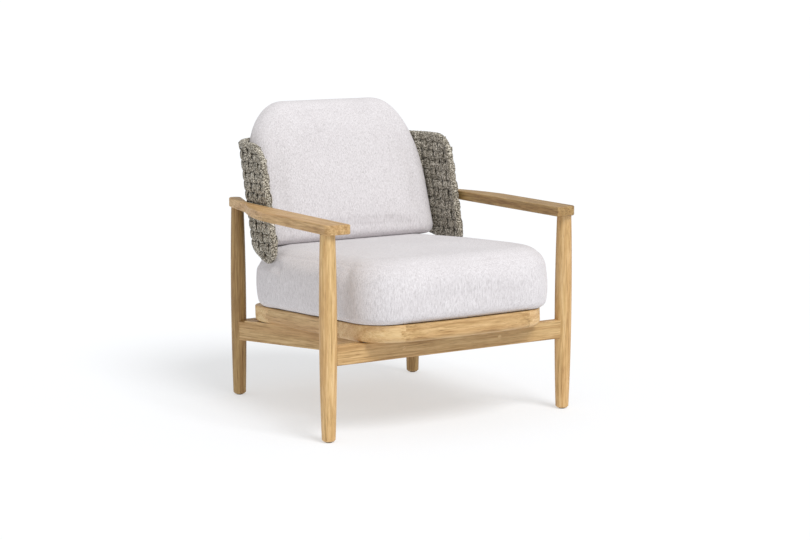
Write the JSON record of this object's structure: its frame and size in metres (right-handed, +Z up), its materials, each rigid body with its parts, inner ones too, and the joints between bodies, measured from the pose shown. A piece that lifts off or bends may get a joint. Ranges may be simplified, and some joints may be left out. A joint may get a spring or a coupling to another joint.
{
  "type": "armchair",
  "caption": "Wooden lounge armchair with flat armrests, a rounded seat ring, a woven cord shell round the back, and loose seat and back cushions.",
  "frame": {"origin": "on the floor, under the middle of the chair", "axes": "+Z up, the front of the chair faces -Y, +X is to the left hand of someone sitting in it"},
  "size_m": [0.8092, 0.8155, 0.8612],
  "materials": {
    "arm_wood": "oiled teak, sanded flat",
    "back_fabric": "off-white textured weave",
    "cord": "flat braided outdoor cord",
    "corner_wood": "oiled teak, paler corner blocks",
    "dowel_wood": "plain dowel",
    "foam": "quick-dry foam",
    "frame_metal": "powder-coated tube",
    "glide": "black nylon",
    "leg_wood": "oiled teak, turned",
    "plug_wood": "sanded plug",
    "rail_wood": "oiled teak",
    "ring_wood": "oiled teak",
    "seat_fabric": "off-white textured weave",
    "slat_wood": "planed teak",
    "steel": "zinc-plated",
    "zipper": "coil zipper"
  },
  "bodies": {
    "frame": {"arm_dowels": "dowel_wood", "armrest_left": "arm_wood", "armrest_right": "arm_wood", "back_shell": "cord", "barrel_nuts": "steel", "foot_glide_front_left": "glide", "foot_glide_front_right": "glide", "foot_glide_rear_left": "glide", "foot_glide_rear_right": "glide", "front_leg_left": "leg_wood", "front_leg_right": "leg_wood", "front_rail": "rail_wood", "post_bolts": "steel", "rail_bolts": "steel", "rail_plugs": "plug_wood", "rear_leg_left": "leg_wood", "rear_leg_right": "leg_wood", "rear_rail": "rail_wood", "ring_corner_front_left": "corner_wood", "ring_corner_front_right": "corner_wood", "ring_corner_rear_left": "corner_wood", "ring_corner_rear_right": "corner_wood", "ring_front": "ring_wood", "ring_rear": "ring_wood", "ring_screws": "steel", "ring_side_left": "ring_wood", "ring_side_right": "ring_wood", "seat_slat_1": "slat_wood", "seat_slat_2": "slat_wood", "seat_slat_3": "slat_wood", "seat_slat_4": "slat_wood", "seat_slat_5": "slat_wood", "seat_slat_6": "slat_wood", "seat_slat_7": "slat_wood", "shell_frame": "frame_metal", "side_rail_dowels": "dowel_wood", "side_rail_left": "rail_wood", "side_rail_right": "rail_wood", "slat_screws": "steel"},
    "seat_cushion": {"seat_cushion_cover": "seat_fabric", "seat_cushion_foam": "foam", "seat_cushion_zipper": "zipper"},
    "back_cushion": {"back_cushion_cover": "back_fabric", "back_cushion_foam": "foam", "back_cushion_zipper": "zipper"}
  },
  "joints": [
    {"name": "seat_cushion_slide", "type": "slide", "parent": "frame", "child": "seat_cushion", "axis": [0, -0.9986, 0.0523], "range_m": [0, 0.72]},
    {"name": "back_cushion_lift", "type": "slide", "parent": "frame", "child": "back_cushion", "axis": [0, 0.2504, 0.9681], "range_m": [0, 0.45]}
  ]
}
